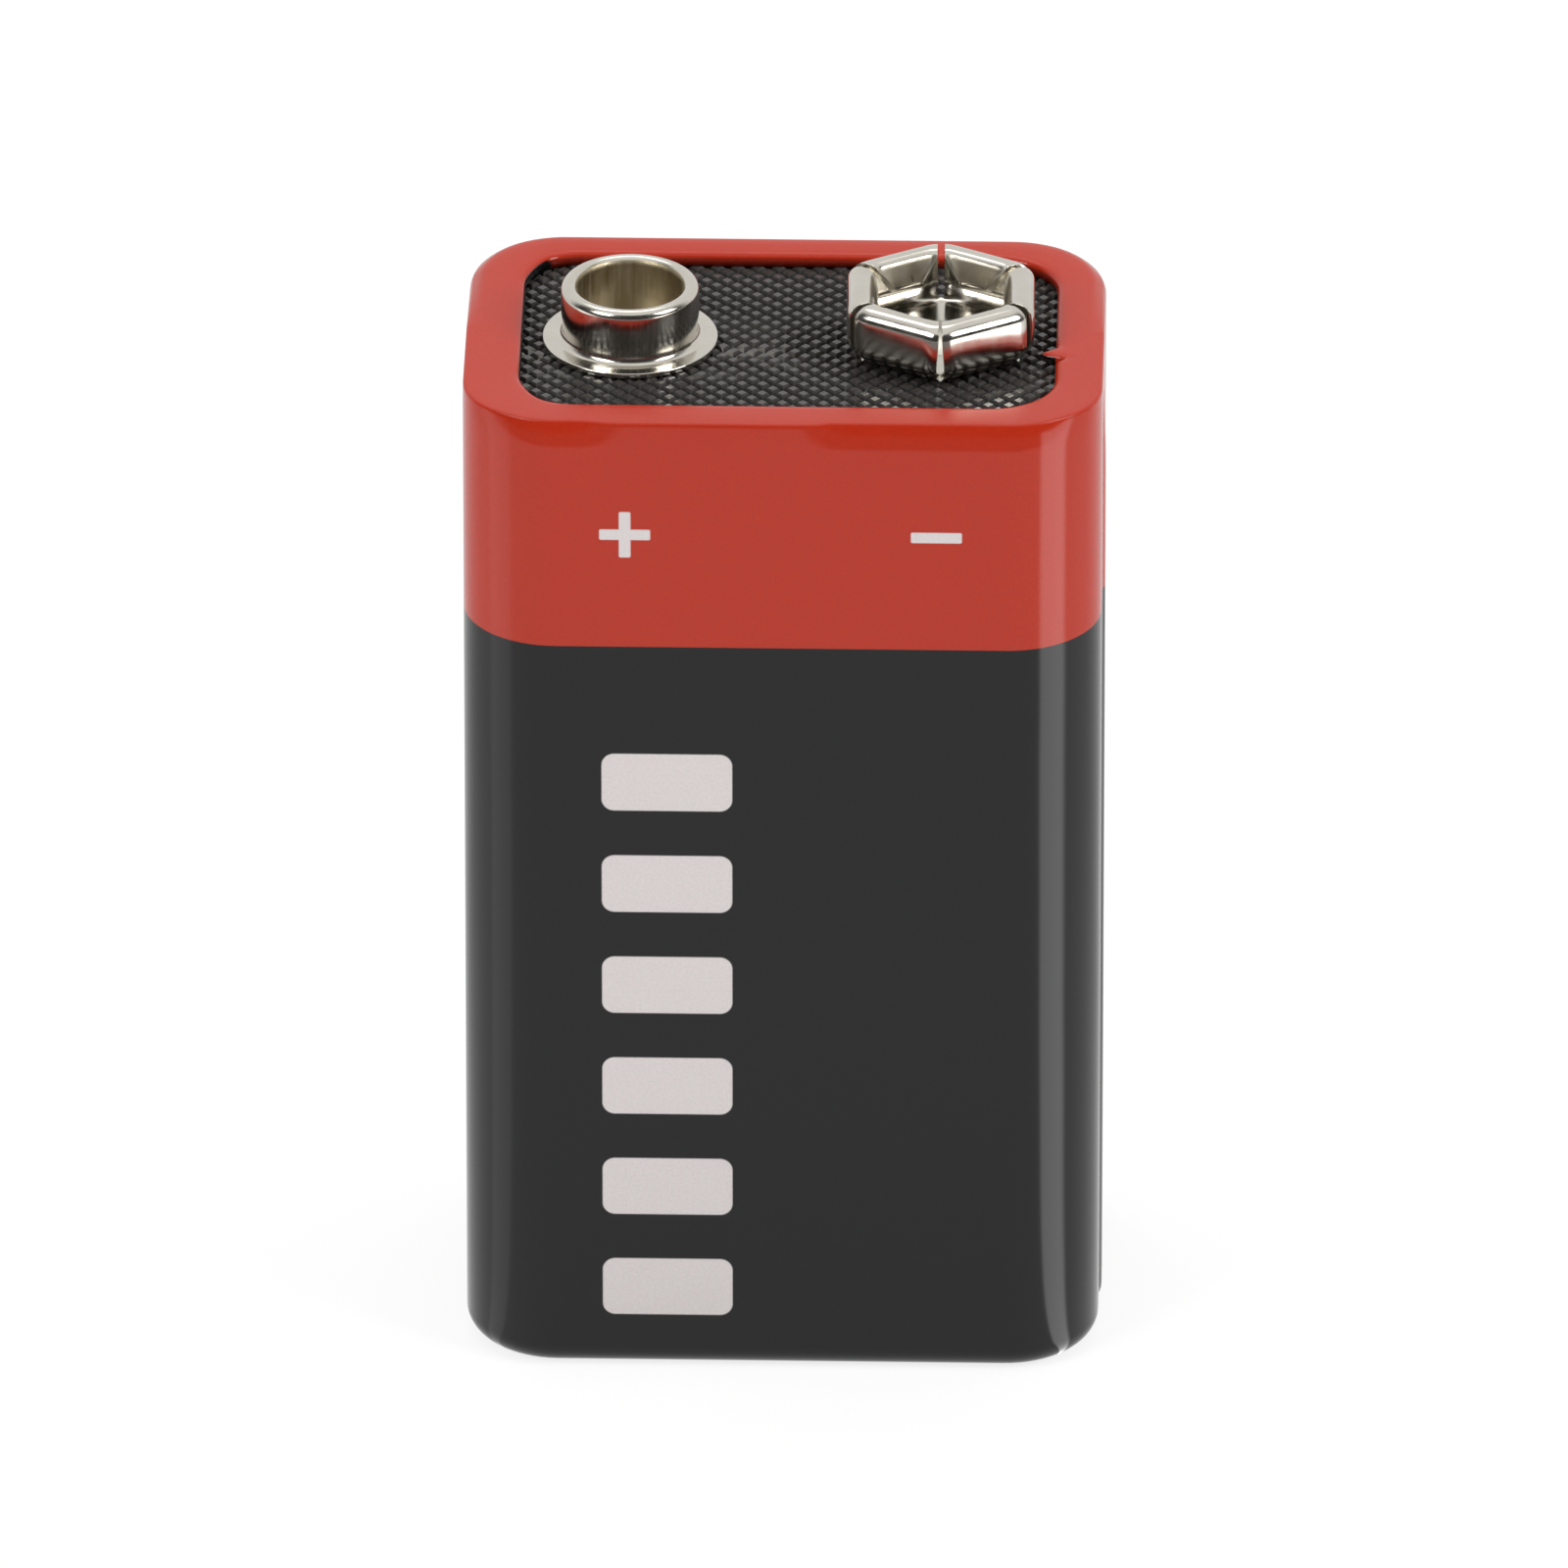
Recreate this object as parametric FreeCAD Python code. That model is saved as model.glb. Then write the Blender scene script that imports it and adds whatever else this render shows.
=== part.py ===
"""A nine volt battery: a crimped steel jacket in a printed shrink sleeve, with two snap terminals
riveted to an embossed board, and six sealed cells in series inside it.

The origin is the middle of the underside. +Z is up, and +X runs from the stud to the socket.
The front, with the wide printed face, looks along -Y. All sizes are in millimetres.
"""
import FreeCAD
import Part
import math
import os

# Outer body, as the printed sleeve leaves it
body_length = 26.4
body_width = 17.5
body_height = 44.4
corner_radius = 3.9
top_round = 1.35
bottom_round = 1.1
sleeve_thickness = 0.1
jacket_thickness = 0.25
lip_width = 2.0
lip_crown = 0.15
lower_lip_bevel = 0.3
board_depth = 0.65
crimp_round = 0.6
window_radius = 2.7

# Lap seam of the sleeve down the right side, and the little tuck that it leaves at the window
seam_width = 2.4
seam_step = 0.12
seam_y = -1.8
tuck_reach = 0.6
tuck_width = 1.1

# Board, base plate, pads and liner
board_thickness = 1.2
base_thickness = 1.2
pad_thickness = 0.3
pad_clearance = 0.1
liner_thickness = 0.15

# Snap terminals, pressed from one sheet
flange_margin = 1.15
terminal_height = 2.65
sheet = 0.25

# Stud, the positive terminal
stud_head_radius = 2.86
stud_neck_radius = 2.65
stud_bore_radius = 2.17
stud_flange_radius = 3.63
stud_foot_round = 0.4
stud_roll = 0.34
stud_land = 0.9

# Socket, the negative terminal
petals = 6
socket_top_apothem = 3.92
socket_foot_apothem = 3.5
socket_foot_round = 1.05
socket_roll = 0.45
throat_radius = 2.72
throat_flare = 0.22
throat_land = 0.9
petal_lip = 1.55
slit_width = 0.3
slit_relief_radius = 0.24
lip_gap_width = 1.2

# Rivets, with a domed head and a hollow clinched tail
rivet_radius = 1.0
rivet_head_radius = 1.55
rivet_head_height = 0.35
rivet_clinch_radius = 1.6
rivet_clinch_height = 0.4
rivet_tail_radius = 1.25
rivet_bore_radius = 0.55
rivet_bore_depth = 1.15
rivet_clearance = 0.04

# Cells
rows = 2
columns = 3
cell_gap = 0.05
liner_gap = 0.08
nub_radius = 1.5
nub_height = 0.7
cap_radius = 2.3
cap_height = 0.2
seal_width = 0.6
seal_depth = 0.25
can_shoulder = 0.5
bead_height = 2.4
bead_depth = 0.3
bead_width = 0.9

# Nickel strips that join the cells, and the two leads
strip_thickness = 0.15
strip_width = 3.0
lead_foot = 1.6
lead_bend = 0.12
stack_clearance = 0.05

# Levels, from the floor up
wall = sleeve_thickness + jacket_thickness
base_top = wall + base_thickness
bottom_strip_z = base_top + pad_thickness
cell_bottom = bottom_strip_z + strip_thickness
board_top = body_height - board_depth
board_bottom = board_top - board_thickness
lead_z = board_bottom - strip_thickness
clinch_bottom = lead_z - rivet_clinch_height
upper_pad_z = clinch_bottom - stack_clearance - pad_thickness
cell_top = upper_pad_z - strip_thickness
cell_length = cell_top - cell_bottom
sheet_top = board_top + sheet
terminal_top = board_top + terminal_height
terminal_x = body_length / 2 - lip_width - flange_margin - stud_flange_radius
upper_lip_bevel = lip_width - top_round - lip_crown

# The cells are as thick as the liner lets them be, and spread out to its walls
inner_wall = wall + liner_thickness
room_length = body_length - 2 * (inner_wall + liner_gap)
room_width = body_width - 2 * (inner_wall + liner_gap)
cell_diameter = min((room_length - (columns - 1) * cell_gap) / columns,
                    (room_width - (rows - 1) * cell_gap) / rows)
cell_radius = cell_diameter / 2
column_pitch = (room_length - cell_diameter) / (columns - 1)
row_pitch = (room_width - cell_diameter) / (rows - 1)

UP = FreeCAD.Vector(0, 0, 1)
ORIGIN = FreeCAD.Vector(0, 0, 0)


def vec(x, y, z):
    return FreeCAD.Vector(x, y, z)


def line(a, b):
    return Part.LineSegment(a, b).toShape()


def arc(a, middle, b):
    return Part.Arc(a, middle, b).toShape()


def corner_arc(start, corner, end):
    """A quarter circle that rounds the corner between two points at right angles about it."""
    centre = start + end - corner
    middle = centre + (corner - centre) * math.sqrt(0.5)
    return arc(start, middle, end)


def rim_edges(block, level):
    """The edges of a block that lie wholly at one height."""
    return [e for e in block.Edges if all(abs(v.Z - level) < 1e-6 for v in e.Vertexes)]


def post(x, radius, z0, z1):
    """An upright cylinder on the part's middle plane."""
    return Part.makeCylinder(radius, z1 - z0, vec(x, 0, z0), UP)


def slab(length, width, radius, z0, z1):
    """An upright prism, centred on the axis, whose outline is a rectangle with round corners."""
    x, y, r = length / 2, width / 2, radius
    edges = []
    corners = [vec(x, -y, z0), vec(x, y, z0), vec(-x, y, z0), vec(-x, -y, z0)]
    for i, corner in enumerate(corners):
        before = (corners[i - 1] - corner).normalize()
        after = (corners[(i + 1) % 4] - corner).normalize()
        edges.append(corner_arc(corner + before * r, corner, corner + after * r))
        edges.append(line(corner + after * r, corners[(i + 1) % 4] - after * r))
    return Part.Face(Part.Wire(edges)).extrude(vec(0, 0, z1 - z0))


def inset_slab(inset, z0, z1, low_round=0, high_round=0):
    """The body's own outline moved in by an inset, with its lower and upper rims rounded."""
    block = slab(body_length - 2 * inset, body_width - 2 * inset, corner_radius - inset, z0, z1)
    for level, radius in ((z0, low_round), (z1, high_round)):
        if radius > 0:
            block = block.makeFillet(radius, rim_edges(block, level))
    return block


def window(grow, z0, z1):
    """The opening inside the lips, made larger by grow on each side."""
    length = body_length - 2 * (lip_width - grow)
    width = body_width - 2 * (lip_width - grow)
    return slab(length, width, window_radius + grow, z0, z1)


def body_block(inset):
    """The whole body as a solid block, moved in by an inset, with its rims rounded."""
    return inset_slab(inset, inset, body_height - inset, bottom_round - inset, top_round - inset)


def envelope(inset):
    """That block with both windows cut through it and the edges of its lips bevelled."""
    block = body_block(inset).cut(window(inset, 0, body_height))
    inside = body_width / 2 - (lip_width + top_round) / 2
    for level, bevel in ((inset, lower_lip_bevel), (body_height - inset, upper_lip_bevel)):
        edges = [e for e in rim_edges(block, level) if max(abs(v.Y) for v in e.Vertexes) < inside]
        block = block.makeChamfer(bevel - inset, edges)
    return block


def cavity():
    """The room inside the steel jacket."""
    return inset_slab(wall, wall, board_top, bottom_round - wall, crimp_round)


def seam_lap():
    """The overlap of the film's two ends down the right side and over both rims."""
    edge = body_length / 2 - top_round
    strip = Part.makeBox(body_length, seam_width, body_height - 2 * seam_step,
                         vec(edge, seam_y - seam_width / 2, seam_step))
    return body_block(-seam_step).cut(body_block(sleeve_thickness / 2)).common(strip)


def seam_tuck():
    """The small point of film that the lap pushes out over the window."""
    edge = body_length / 2 - lip_width
    root = edge + sleeve_thickness
    z = body_height - upper_lip_bevel - sleeve_thickness
    corners = [vec(root, seam_y - tuck_width / 2, z), vec(edge - tuck_reach, seam_y, z),
               vec(root, seam_y + tuck_width / 2, z)]
    return Part.Face(Part.makePolygon(corners + corners[:1])).extrude(vec(0, 0, sleeve_thickness))


def label_sleeve():
    """The printed film, shrunk over the jacket and tucked down over the edge of each lip."""
    film = envelope(0).cut(envelope(sleeve_thickness))
    film = film.cut(window(sleeve_thickness, wall, board_top))
    return film.fuse([seam_lap(), seam_tuck()]).removeSplitter()


def steel_jacket():
    """The tinplate tube whose ends are crimped in over the board and the base plate."""
    return envelope(sleeve_thickness).cut(cavity())


def insulating_liner():
    """A paper tube between the jacket and the cells, from the base plate to the board."""
    tube = inset_slab(wall, base_top, board_bottom)
    return tube.cut(inset_slab(inner_wall, base_top, board_bottom))


def plate(z0, z1, level, bevel):
    """A flat plate that fills the jacket, bevelled on the side that seats in the crimp."""
    block = inset_slab(wall, z0, z1)
    return block.makeChamfer(bevel, rim_edges(block, level))


def terminal_board():
    """The board that carries both terminals."""
    board = plate(board_bottom, board_top, board_top, crimp_round)
    for x in (-terminal_x, terminal_x):
        board = board.cut(post(x, rivet_radius + rivet_clearance, board_bottom, board_top))
    return board


def base_plate():
    """The plate that closes the underside, set in behind the lower lip."""
    return plate(wall, base_top, wall, bottom_round - wall)


def turned(edges, x):
    """A profile in the XZ plane turned about the Z axis and set at x."""
    body = Part.Face(Part.Wire(edges)).revolve(ORIGIN, UP, 360)
    body.translate(vec(x, 0, 0))
    return body


def positive_stud():
    """A drawn cup folded back on itself: flange, neck, head with a rolled rim, and inner wall."""
    hole = rivet_radius + rivet_clearance
    head, neck, bore, roll = stud_head_radius, stud_neck_radius, stud_bore_radius, stud_roll
    foot = stud_foot_round
    head_z = terminal_top - roll
    land_z = head_z - stud_land
    crown = vec((head + bore) / 2, 0, terminal_top)
    half = (head - bore) / 2
    lean = math.sqrt(0.5)
    outer_middle = vec(crown.x + half * lean, 0, head_z + roll * lean)
    inner_middle = vec(crown.x - half * lean, 0, head_z + roll * lean)
    edges = [line(vec(hole, 0, board_top), vec(stud_flange_radius, 0, board_top)),
             line(vec(stud_flange_radius, 0, board_top), vec(stud_flange_radius, 0, sheet_top)),
             line(vec(stud_flange_radius, 0, sheet_top), vec(neck + foot, 0, sheet_top)),
             corner_arc(vec(neck + foot, 0, sheet_top), vec(neck, 0, sheet_top),
                        vec(neck, 0, sheet_top + foot)),
             line(vec(neck, 0, sheet_top + foot), vec(head, 0, land_z)),
             line(vec(head, 0, land_z), vec(head, 0, head_z)),
             arc(vec(head, 0, head_z), outer_middle, crown),
             arc(crown, inner_middle, vec(bore, 0, head_z)),
             line(vec(bore, 0, head_z), vec(bore, 0, sheet_top)),
             line(vec(bore, 0, sheet_top), vec(hole, 0, sheet_top)),
             line(vec(hole, 0, sheet_top), vec(hole, 0, board_top))]
    return turned(edges, -terminal_x)


def flats(apothem, z):
    """One corner for each slit, the first towards the back, so that two flats face the sides."""
    reach = apothem / math.cos(math.pi / petals)
    turns = [2 * math.pi * i / petals for i in range(petals)]
    return [vec(reach * math.sin(t), reach * math.cos(t), z) for t in turns]


def leaning_block(inset, z0, z1, foot_round, rim_round):
    """The socket's leaning walls as a solid block, rounded where it meets the floor and the rim."""
    lean = (socket_top_apothem - socket_foot_apothem) / terminal_height
    low = flats(socket_foot_apothem - inset + lean * (z0 - board_top), z0)
    high = flats(socket_foot_apothem - inset + lean * (z1 - board_top), z1)
    sides = [[low[i - 1], low[i], high[i], high[i - 1]] for i in range(petals)]
    faces = [Part.Face(Part.makePolygon(ring + ring[:1])) for ring in [low, high] + sides]
    block = Part.makeSolid(Part.makeShell(faces))
    for level, radius in ((z0, foot_round), (z1, rim_round)):
        block = block.makeFillet(radius, rim_edges(block, level))
    return block


def throat(lip_bottom):
    """The round space inside the lips: a land that grips the stud, and a flare above it."""
    mouth = throat_radius + throat_flare
    land_top = lip_bottom + throat_land
    flare_middle = vec(throat_radius + throat_flare * (1 - math.sqrt(0.75)), 0,
                       (land_top + terminal_top) / 2)
    edges = [line(vec(0, 0, sheet_top), vec(throat_radius, 0, sheet_top)),
             line(vec(throat_radius, 0, sheet_top), vec(throat_radius, 0, land_top)),
             arc(vec(throat_radius, 0, land_top), flare_middle, vec(mouth, 0, terminal_top)),
             line(vec(mouth, 0, terminal_top), vec(0, 0, terminal_top)),
             line(vec(0, 0, terminal_top), vec(0, 0, sheet_top))]
    return turned(edges, 0)


def petal_slit(lip_bottom):
    """What parts two petals: a slit with a round end, and a gap that widens down their lips."""
    reach = 2 * socket_top_apothem
    relief_z = sheet_top + slit_relief_radius
    half, wide = slit_width / 2, lip_gap_width / 2
    slit = Part.makeBox(slit_width, reach, terminal_top - relief_z, vec(-half, 0, relief_z))
    relief = Part.makeCylinder(slit_relief_radius, reach, vec(0, 0, relief_z), vec(0, 1, 0))
    relief = relief.cut(post(0, throat_radius, board_top, terminal_top))
    corners = [vec(-half, 0, terminal_top), vec(half, 0, terminal_top),
               vec(wide, 0, lip_bottom), vec(-wide, 0, lip_bottom)]
    gap = Part.Face(Part.makePolygon(corners + corners[:1])).extrude(vec(0, throat_radius + sheet, 0))
    return slit.fuse([relief, gap])


def negative_socket():
    """Petals cut and folded from one sheet: leaning walls, rolled rims and round inner lips."""
    lip_bottom = terminal_top - petal_lip
    outer = leaning_block(0, board_top, terminal_top, socket_foot_round, socket_roll)
    inner = leaning_block(sheet, sheet_top, terminal_top - sheet,
                          socket_foot_round - sheet, socket_roll - sheet)
    lips = post(0, throat_radius + sheet, lip_bottom, terminal_top - sheet)
    body = outer.cut(inner).fuse(lips).cut(throat(lip_bottom))
    body = body.cut(post(0, rivet_radius + rivet_clearance, board_top, sheet_top))
    for i in range(petals):
        tool = petal_slit(lip_bottom)
        tool.rotate(ORIGIN, UP, 360 / petals * i)
        body = body.cut(tool)
    body.translate(vec(terminal_x, 0, 0))
    return body


def rivet(x):
    """A rivet whose domed head clamps a terminal and whose tail is clinched under the lead."""
    shank, head, rise = rivet_radius, rivet_head_radius, rivet_head_height
    bore, tail = rivet_bore_radius, rivet_tail_radius
    bore_top = clinch_bottom + rivet_bore_depth
    dome_radius = (head ** 2 + rise ** 2) / (2 * rise)
    half_turn = math.asin(head / dome_radius) / 2
    dome_middle = vec(dome_radius * math.sin(half_turn), 0,
                      sheet_top + rise - dome_radius * (1 - math.cos(half_turn)))
    edges = [line(vec(0, 0, bore_top), vec(bore, 0, bore_top)),
             line(vec(bore, 0, bore_top), vec(bore, 0, clinch_bottom)),
             line(vec(bore, 0, clinch_bottom), vec(tail, 0, clinch_bottom)),
             line(vec(tail, 0, clinch_bottom), vec(rivet_clinch_radius, 0, lead_z)),
             line(vec(rivet_clinch_radius, 0, lead_z), vec(shank, 0, lead_z)),
             line(vec(shank, 0, lead_z), vec(shank, 0, sheet_top)),
             line(vec(shank, 0, sheet_top), vec(head, 0, sheet_top)),
             arc(vec(head, 0, sheet_top), dome_middle, vec(0, 0, sheet_top + rise)),
             line(vec(0, 0, sheet_top + rise), vec(0, 0, bore_top))]
    return turned(edges, x)


def cell_place(number):
    """Cells are counted from 1 in a serpentine, from under the stud to under the socket."""
    column, step = divmod(number - 1, rows)
    row = step if column % 2 == 0 else rows - 1 - step
    return vec((column - (columns - 1) / 2) * column_pitch, (row - (rows - 1) / 2) * row_pitch, 0)


def cell(number):
    """One sealed cell: crimped cap at its negative end, beaded can and a nub at the other."""
    r = cell_radius
    seal = cap_radius + seal_width
    shoulder = cell_length - nub_height
    points = [(0, 0), (cap_radius, 0), (cap_radius, cap_height + seal_depth),
              (seal, cap_height + seal_depth), (seal, cap_height), (r - can_shoulder, cap_height),
              (r, cap_height + can_shoulder), (r, bead_height - bead_width / 2),
              (r - bead_depth, bead_height), (r, bead_height + bead_width / 2),
              (r, shoulder - can_shoulder), (r - can_shoulder, shoulder), (nub_radius, shoulder),
              (nub_radius, cell_length), (0, cell_length)]
    corners = [vec(x, 0, z) for x, z in points]
    can = Part.Face(Part.makePolygon(corners + corners[:1])).revolve(ORIGIN, UP, 360)
    if number % 2 == 0:
        can.rotate(vec(0, 0, cell_length / 2), vec(1, 0, 0), 180)
    can.translate(cell_place(number) + vec(0, 0, cell_bottom))
    return can


def cell_strip(number):
    """A flat strip with round ends that joins a cell to the next one, below or above them."""
    start, end = cell_place(number), cell_place(number + 1)
    z = bottom_strip_z if number % 2 else cell_top
    run = end - start
    bar = Part.makeBox(run.Length, strip_width, strip_thickness, vec(0, -strip_width / 2, z))
    for x in (0, run.Length):
        bar = bar.fuse(post(x, strip_width / 2, z, z + strip_thickness))
    bar.rotate(ORIGIN, UP, math.degrees(math.atan2(run.y, run.x)))
    bar.translate(start)
    return bar.removeSplitter()


def along_lead(shape):
    """Turns a shape built along +X from the axis so that it runs from cell 1 to the stud."""
    run = vec(-terminal_x, 0, 0) - cell_place(1)
    shape.rotate(ORIGIN, UP, math.degrees(math.atan2(run.y, run.x)))
    shape.translate(cell_place(1))
    return shape


def positive_lead():
    """A strip from the first cell that steps up past the pad to the rivet under the board."""
    run = (vec(-terminal_x, 0, 0) - cell_place(1)).Length
    t, half = strip_thickness, strip_width / 2
    points = [(-half, cell_top), (lead_foot, cell_top), (lead_foot, lead_z), (run + half, lead_z),
              (run + half, lead_z + t), (lead_foot - t, lead_z + t), (lead_foot - t, cell_top + t),
              (-half, cell_top + t)]
    corners = [vec(x, -half, z) for x, z in points]
    body = Part.Face(Part.makePolygon(corners + corners[:1])).extrude(vec(0, strip_width, 0))
    bends = [e for e in body.Edges if e.BoundBox.YLength > half and e.BoundBox.XLength < 1e-6
             and abs(e.BoundBox.XMin - lead_foot + t / 2) < t]
    body = body.makeFillet(lead_bend, bends)
    return along_lead(body.cut(post(run, rivet_radius + rivet_clearance, cell_top, board_bottom)))


def negative_lead():
    """The same strip turned half round, from the last cell to the socket's rivet."""
    body = positive_lead()
    body.rotate(ORIGIN, UP, 180)
    return body


def lower_pad():
    """A card under the lower strips."""
    return inset_slab(inner_wall + pad_clearance, base_top, bottom_strip_z)


def upper_pad():
    """A card over the upper strips, cut away where the two leads come up past it."""
    z0, z1 = upper_pad_z, upper_pad_z + pad_thickness
    pad = inset_slab(inner_wall + pad_clearance, z0, z1)
    side = strip_width + 2 * pad_clearance
    reach = lead_foot + pad_clearance
    for turn in (0, 180):
        notch = Part.makeBox(reach + body_width, side, pad_thickness, vec(-body_width, -side / 2, z0))
        notch = along_lead(notch)
        notch.rotate(ORIGIN, UP, turn)
        pad = pad.cut(notch)
    return pad


def pieces():
    """Every node by name. Each is one solid."""
    made = {
        "label_sleeve": label_sleeve(),
        "steel_jacket": steel_jacket(),
        "insulating_liner": insulating_liner(),
        "terminal_board": terminal_board(),
        "base_plate": base_plate(),
        "positive_stud": positive_stud(),
        "negative_socket": negative_socket(),
        "stud_rivet": rivet(-terminal_x),
        "socket_rivet": rivet(terminal_x),
        "positive_lead": positive_lead(),
        "negative_lead": negative_lead(),
        "upper_pad": upper_pad(),
        "lower_pad": lower_pad(),
    }
    count = rows * columns
    for number in range(1, count + 1):
        made[f"cell_{number}"] = cell(number)
    for number in range(1, count):
        made[f"cell_strip_{number}_{number + 1}"] = cell_strip(number)
    return made


def main():
    os.makedirs("parts", exist_ok=True)
    for name, shape in pieces().items():
        if len(shape.Solids) != 1 or not shape.isValid():
            raise ValueError(f"{name} isn't one valid solid")
        shape.Solids[0].exportStep(f"parts/{name}.step")


main()
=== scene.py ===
"""Finishes the nine volt battery: printed film, embossed board and nickel-plated snap terminals.

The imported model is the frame. Every piece is built in metres in that frame, with +Z up, the front
along -Y, the stud on -X and the socket on +X.
"""

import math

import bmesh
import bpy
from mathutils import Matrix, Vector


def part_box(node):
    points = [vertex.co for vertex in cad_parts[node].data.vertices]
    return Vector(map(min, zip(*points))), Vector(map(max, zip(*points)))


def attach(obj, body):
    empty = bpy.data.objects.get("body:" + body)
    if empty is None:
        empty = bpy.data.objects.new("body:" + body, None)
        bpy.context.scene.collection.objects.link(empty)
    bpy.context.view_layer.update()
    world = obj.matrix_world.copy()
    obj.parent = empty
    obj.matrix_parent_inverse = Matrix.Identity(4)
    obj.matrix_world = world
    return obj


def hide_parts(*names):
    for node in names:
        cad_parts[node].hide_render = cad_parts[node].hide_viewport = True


bl_info = {
    "name": "Nine volt battery",
    "version": (1, 0, 0),
    "blender": (4, 5, 0),
    "location": "3D Viewport > Sidebar > Battery",
    "description": "Builds the film, board and terminals of a nine volt battery around its frame",
    "category": "Object",
}

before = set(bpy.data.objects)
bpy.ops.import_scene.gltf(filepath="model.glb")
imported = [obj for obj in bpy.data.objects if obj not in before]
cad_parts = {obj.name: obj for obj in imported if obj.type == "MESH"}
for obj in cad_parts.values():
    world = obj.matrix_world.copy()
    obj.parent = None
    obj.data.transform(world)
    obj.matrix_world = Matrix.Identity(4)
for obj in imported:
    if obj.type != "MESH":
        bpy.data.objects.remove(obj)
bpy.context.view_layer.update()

MM = 0.001
FILM_LOW, FILM_HIGH = (Vector(corner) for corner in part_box("label_sleeve"))
BOARD_LOW, BOARD_HIGH = (Vector(corner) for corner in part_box("terminal_board"))
STUD_LOW, STUD_HIGH = (Vector(corner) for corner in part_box("positive_stud"))
SOCKET_LOW, SOCKET_HIGH = (Vector(corner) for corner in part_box("negative_socket"))
RIVET_LOW, RIVET_HIGH = (Vector(corner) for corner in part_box("stud_rivet"))
HALF_LENGTH = -FILM_LOW.x
HALF_WIDTH = FILM_HIGH.y
HEIGHT = FILM_HIGH.z
LIP_TOP = HEIGHT - 0.06 * MM
RIVET_HOLE = 1.04 * MM
STUD_X = (STUD_LOW.x + STUD_HIGH.x) / 2
SOCKET_X = (SOCKET_LOW.x + SOCKET_HIGH.x) / 2


def linear(hex_colour):
    """An sRGB hex colour as linear red, green, blue and alpha."""
    values = [int(hex_colour[i:i + 2], 16) / 255 for i in (1, 3, 5)]
    return [v / 12.92 if v <= 0.04045 else ((v + 0.055) / 1.055) ** 2.4 for v in values] + [1.0]


def ramp(value, start, end):
    """0 up to the start and 1 from the end on, in proportion between them."""
    return max(0.0, min(1.0, (value - start) / (end - start)))


def length(name, description, default):
    return bpy.props.FloatProperty(name=name, description=description, default=default, unit="LENGTH",
                                   precision=5)


def colour(name, description, hex_colour):
    return bpy.props.FloatVectorProperty(name=name, description=description, subtype="COLOR", size=4,
                                         min=0.0, max=1.0, default=linear(hex_colour))


class FilmSettings(bpy.types.PropertyGroup):
    """The printed shrink film."""
    corner_radius: length("Corner radius", "Upright corners of the body", 3.9 * MM)
    shoulder: length("Shoulder", "Height over which the side leans in below the crease", 1.3 * MM)
    lean: length("Lean", "How far the shoulder leans in", 0.2 * MM)
    crease: length("Crease", "Radius of the crease between the shoulder and the lip", 0.14 * MM)
    bottom_round: length("Bottom rounding", "Where the side rolls under", 1.1 * MM)
    lip_width: length("Lip width", "From the side to the window's edge", 2.0 * MM)
    lip_round: length("Lower lip rounding", "The film's turn into the lower window", 0.3 * MM)
    window_radius: length("Window corner radius", "Corners of both windows", 2.7 * MM)
    thickness: length("Thickness", "The film itself", 0.1 * MM)
    band_height: length("Upper field", "Depth of the upper colour, from the top", 10.4 * MM)
    upper_ink: colour("Upper ink", "Colour of the upper field", "#af2c15")
    lower_ink: colour("Lower ink", "Colour of the lower field", "#0d0d0e")
    mark_ink: colour("Mark ink", "Colour of the printed marks", "#d3cccb")


class BoardSettings(bpy.types.PropertyGroup):
    """The embossed board under the terminals."""
    pitch: length("Emboss pitch", "Between two diamonds, along their sides", 0.6 * MM)
    ridge: length("Emboss wall", "Width of a diamond's sloping sides", 0.15 * MM)
    depth: length("Emboss depth", "Height of a diamond over the grooves", 0.17 * MM)
    tint: colour("Board", "Colour of the laminate", "#2d2a28")


class TerminalSettings(bpy.types.PropertyGroup):
    """Sheet metal of both terminals."""
    sheet: length("Sheet", "Thickness of the metal", 0.25 * MM)
    neck_radius: length("Stud neck", "Narrowest radius of the stud's wall", 2.78 * MM)
    head_radius: length("Stud head", "Widest radius of the stud's wall", 2.86 * MM)
    bore_radius: length("Stud bore", "Radius of the stud's inner wall", 2.17 * MM)
    throat_radius: length("Socket throat", "Radius between the petals' inner lips", 2.72 * MM)
    lip_depth: length("Petal lip", "How far the inner lips come down", 1.15 * MM)
    slit: length("Slit", "Gap between two petals", 0.3 * MM)
    plating: colour("Plating", "Colour of the nickel plate", "#cfcbc2")


class StageSettings(bpy.types.PropertyGroup):
    """The white studio and the camera."""
    elevation: bpy.props.FloatProperty(name="Elevation", description="Camera's height angle",
                                       default=math.radians(27.89), subtype="ANGLE")
    azimuth: bpy.props.FloatProperty(name="Azimuth", description="Camera's turn to the right of the front",
                                     default=math.radians(1.34), subtype="ANGLE")
    distance: length("Distance", "From the camera to the battery", 1.3925)
    lens: bpy.props.FloatProperty(name="Lens", description="Focal length", default=768.0, unit="CAMERA")
    paper: colour("Backdrop", "Colour of the floor and backdrop", "#ffffff")


SETTINGS = {"battery_film": FilmSettings, "battery_board": BoardSettings,
            "battery_terminals": TerminalSettings, "battery_stage": StageSettings}


def node(tree, kind, inputs=None, **settings):
    """Adds a node, with its settings and with a value or a link for each named input."""
    made = tree.nodes.new(kind)
    for name, value in settings.items():
        setattr(made, name, value)
    for name, value in (inputs or {}).items():
        if isinstance(value, bpy.types.NodeSocket):
            tree.links.new(value, made.inputs[name])
        else:
            made.inputs[name].default_value = value
    return made


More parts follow.
